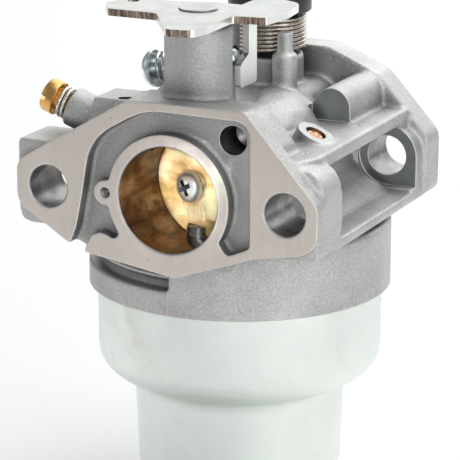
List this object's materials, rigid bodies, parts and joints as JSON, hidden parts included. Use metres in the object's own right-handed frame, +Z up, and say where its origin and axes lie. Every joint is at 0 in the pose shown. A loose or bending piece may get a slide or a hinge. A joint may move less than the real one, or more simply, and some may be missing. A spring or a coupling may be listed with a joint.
{
  "type": "carburetor",
  "caption": "Small-engine float carburetor: cast body with two flanges, throttle and choke butterflies, adjusting screws and a pressed-steel float bowl.",
  "frame": {"origin": "centre of the throttle bore on the engine flange's machined face", "axes": "+Y runs along the bore from the engine flange to the air cleaner flange, +Z is up along the throttle shaft, +X is to the right seen from the engine"},
  "size_m": [0.0562, 0.0707, 0.0941],
  "materials": {
    "body": "as-cast, sand-like grain; machined on the two flanges",
    "float_bowl": "satin zinc plating",
    "bowl_gasket": "matte",
    "bowl_bolt": "zinc plating",
    "bowl_washer": "matte fibre",
    "float": "moulded, matte",
    "float_pin": "ground",
    "float_needle": "ground",
    "needle_seat": "turned",
    "main_nozzle": "turned",
    "main_jet": "turned",
    "throttle_shaft": "ground",
    "throttle_lever": "zinc-plated pressing with sheared edges",
    "throttle_disc": "rolled sheet",
    "throttle_screw": "bright zinc plating",
    "lock_washer": "bright",
    "throttle_seal": "matte",
    "choke_shaft": "ground",
    "choke_disc": "zinc plating",
    "choke_screw": "bright zinc plating",
    "choke_lever": "moulded, low gloss",
    "choke_spring": "drawn wire",
    "pilot_screw": "turned",
    "pilot_screw_spring": "drawn wire",
    "stop_screw": "bright zinc plating",
    "stop_screw_spring": "drawn wire",
    "pilot_jet": "turned",
    "main_air_jet": "turned",
    "pilot_air_jet": "turned",
    "ball_plug": "pressed in",
    "fuel_inlet": "turned"
  },
  "bodies": {
    "casting": {"body": "body", "float_bowl": "float_bowl", "bowl_gasket": "bowl_gasket", "bowl_bolt": "bowl_bolt", "bowl_washer": "bowl_washer", "float_pin": "float_pin", "needle_seat": "needle_seat", "main_nozzle": "main_nozzle", "main_jet": "main_jet", "pilot_jet": "pilot_jet", "main_air_jet": "main_air_jet", "pilot_air_jet": "pilot_air_jet", "ball_plug": "ball_plug", "fuel_inlet": "fuel_inlet", "throttle_seal": "throttle_seal", "pilot_screw_spring": "pilot_screw_spring", "stop_screw_spring": "stop_screw_spring", "choke_spring": "choke_spring"},
    "throttle": {"throttle_shaft": "throttle_shaft", "throttle_lever": "throttle_lever", "throttle_disc": "throttle_disc", "throttle_screw": "throttle_screw", "lock_washer": "lock_washer"},
    "choke": {"choke_shaft": "choke_shaft", "choke_disc": "choke_disc", "choke_screw": "choke_screw", "choke_lever": "choke_lever"},
    "float_arm": {"float": "float"},
    "needle": {"float_needle": "float_needle"},
    "mixture_screw": {"pilot_screw": "pilot_screw"},
    "idle_screw": {"stop_screw": "stop_screw"}
  },
  "joints": [
    {"name": "throttle_turn", "type": "hinge", "parent": "casting", "child": "throttle", "pos_m": [0, 0.0119, 0], "axis": [0, 0, -1], "range_deg": [0, 70]},
    {"name": "choke_turn", "type": "hinge", "parent": "casting", "child": "choke", "pos_m": [0, 0.0405, 0], "axis": [0, 0, -1], "range_deg": [0, 85], "stiffness_Nm_per_rad": 0.008},
    {"name": "float_swing", "type": "hinge", "parent": "casting", "child": "float_arm", "pos_m": [0, 0.0436, -0.0156], "axis": [-1, 0, 0], "range_deg": [0, 3.5]},
    {"name": "needle_slide", "type": "slide", "parent": "casting", "child": "needle", "axis": [0, 0, 1], "range_m": [0, 0.0004]},
    {"name": "mixture_turn", "type": "hinge", "parent": "casting", "child": "mixture_screw", "pos_m": [-0.0214, 0.008, 0.0121], "axis": [0.9397, 0, -0.342], "range_deg": [0, 720]},
    {"name": "idle_turn", "type": "hinge", "parent": "casting", "child": "idle_screw", "pos_m": [-0.0107, 0.018, 0.0177], "axis": [0.9781, 0, 0.2079], "range_deg": [0, 720]}
  ],
  "couplings": [
    {"joint": "needle_slide", "follows": "float_swing", "m_per_rad": 0.005}
  ]
}
